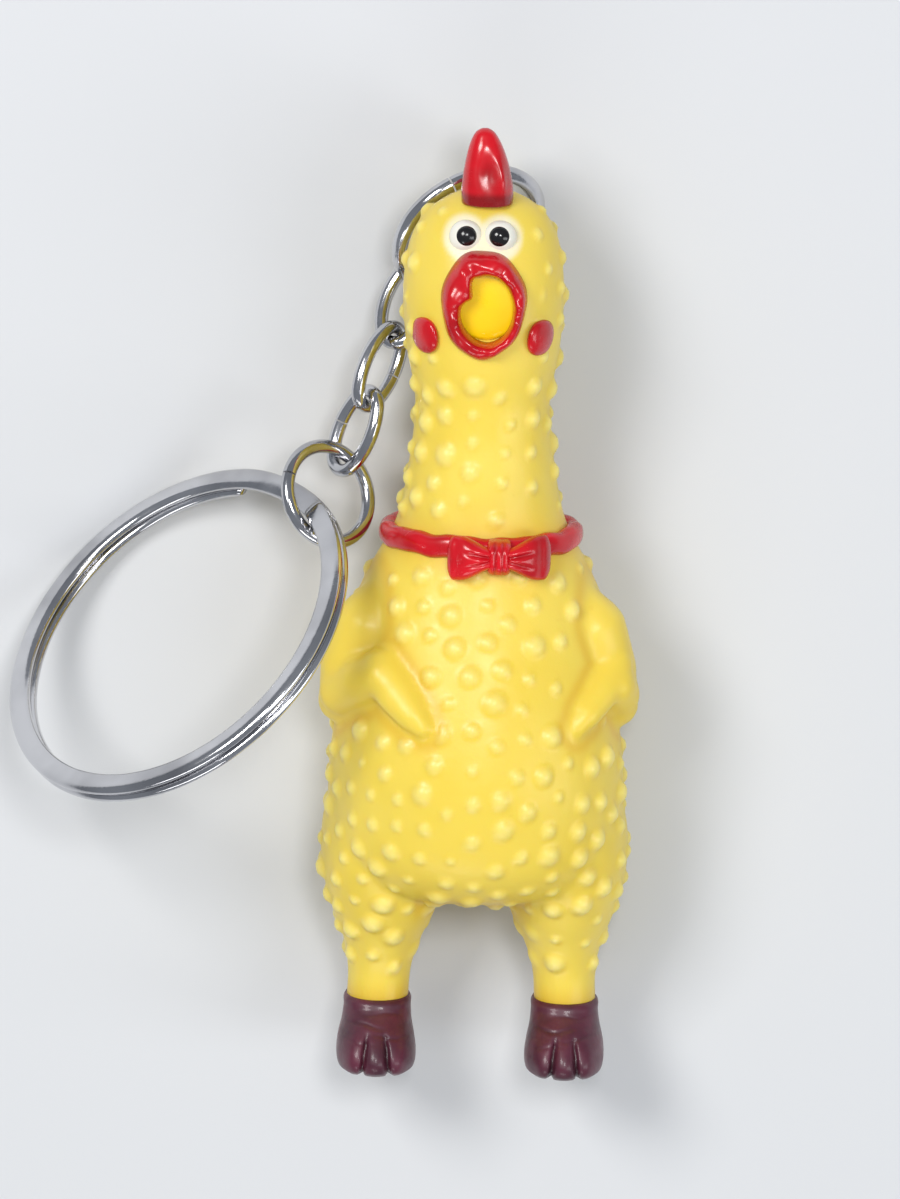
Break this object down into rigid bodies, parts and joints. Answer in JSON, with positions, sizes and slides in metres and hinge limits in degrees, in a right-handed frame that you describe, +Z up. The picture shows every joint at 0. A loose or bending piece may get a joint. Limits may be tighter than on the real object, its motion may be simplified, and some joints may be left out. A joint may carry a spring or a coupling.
{
  "type": "rubber chicken keychain",
  "caption": "Miniature squeaky rubber chicken with red comb, open beak, bow collar and maroon feet, hung on a chromed ring, oval chain links and a split key ring.",
  "frame": {"origin": "middle of the flat patch of the chicken's back that it rests on, 24 mm over the soles", "axes": "+Z up, out of the chicken's belly and face; +Y along the chicken towards its comb; +X to the right as seen from above with the comb away from the viewer"},
  "size_m": [0.0484, 0.0746, 0.0265],
  "materials": {
    "body_vinyl": "satin pale yellow soft vinyl",
    "red_paint": "gloss red, moulded colour and paint",
    "eye_white": "gloss white paint",
    "pupil_black": "gloss black paint",
    "foot_maroon": "gloss maroon paint over vinyl",
    "squeaker_yellow": "moulded bright yellow plastic",
    "reed_white": "thin white plastic",
    "chrome": "bright nickel plating"
  },
  "bodies": {
    "chicken": {"body_shell": "body_vinyl", "comb": "red_paint", "beak_lips": "red_paint", "wattle_left": "red_paint", "wattle_right": "red_paint", "eye_white_left": "eye_white", "eye_white_right": "eye_white", "pupil_left": "pupil_black", "pupil_right": "pupil_black", "foot_left": "foot_maroon", "foot_right": "foot_maroon", "collar_band": "red_paint", "bow_knot": "red_paint", "bow_loop_left": "red_paint", "bow_loop_right": "red_paint", "squeaker_cup": "squeaker_yellow", "squeaker_reed_plate": "squeaker_yellow", "squeaker_cap": "squeaker_yellow"},
    "reed": {"squeaker_reed": "reed_white"},
    "head_ring": {"head_ring": "chrome"},
    "chain_link_1": {"chain_link_1": "chrome"},
    "chain_link_2": {"chain_link_2": "chrome"},
    "chain_link_3": {"chain_link_3": "chrome"},
    "connector_ring": {"connector_ring": "chrome"},
    "split_ring": {"split_ring": "chrome"}
  },
  "joints": [
    {"name": "head_ring_swing", "type": "hinge", "parent": "chicken", "child": "head_ring", "pos_m": [0, 0.04599, 0.00735], "axis": [-0.8738, -0.031, 0.4853], "range_deg": [-60, 0]},
    {"name": "chain_link_1_swing", "type": "hinge", "parent": "head_ring", "child": "chain_link_1", "pos_m": [-0.0055, 0.03708, 0.00393], "axis": [0.5732, -0.462, -0.6768], "range_deg": [0, 60]},
    {"name": "chain_link_2_swing", "type": "hinge", "parent": "chain_link_1", "child": "chain_link_2", "pos_m": [-0.00719, 0.0324, 0.00571], "axis": [-0.843, 0.1489, -0.5169], "range_deg": [-5, 60]},
    {"name": "chain_link_3_swing", "type": "hinge", "parent": "chain_link_2", "child": "chain_link_3", "pos_m": [-0.009, 0.02773, 0.00749], "axis": [-0.6284, 0.24, 0.74], "range_deg": [-60, 0]},
    {"name": "connector_ring_swing", "type": "hinge", "parent": "chain_link_3", "child": "connector_ring", "pos_m": [-0.01058, 0.02273, 0.00788], "axis": [0.6978, 0.2196, 0.6818], "range_deg": [-10, 10]},
    {"name": "split_ring_swing", "type": "hinge", "parent": "connector_ring", "child": "split_ring", "pos_m": [-0.01365, 0.0191, 0.01213], "axis": [0.6486, -0.7488, -0.1365], "range_deg": [-60, 15]},
    {"name": "reed_flex", "type": "hinge", "parent": "chicken", "child": "reed", "pos_m": [0, 0.036, 0.01142], "axis": [1, 0, 0], "range_deg": [-3, 8], "stiffness_Nm_per_rad": 0.000002}
  ]
}
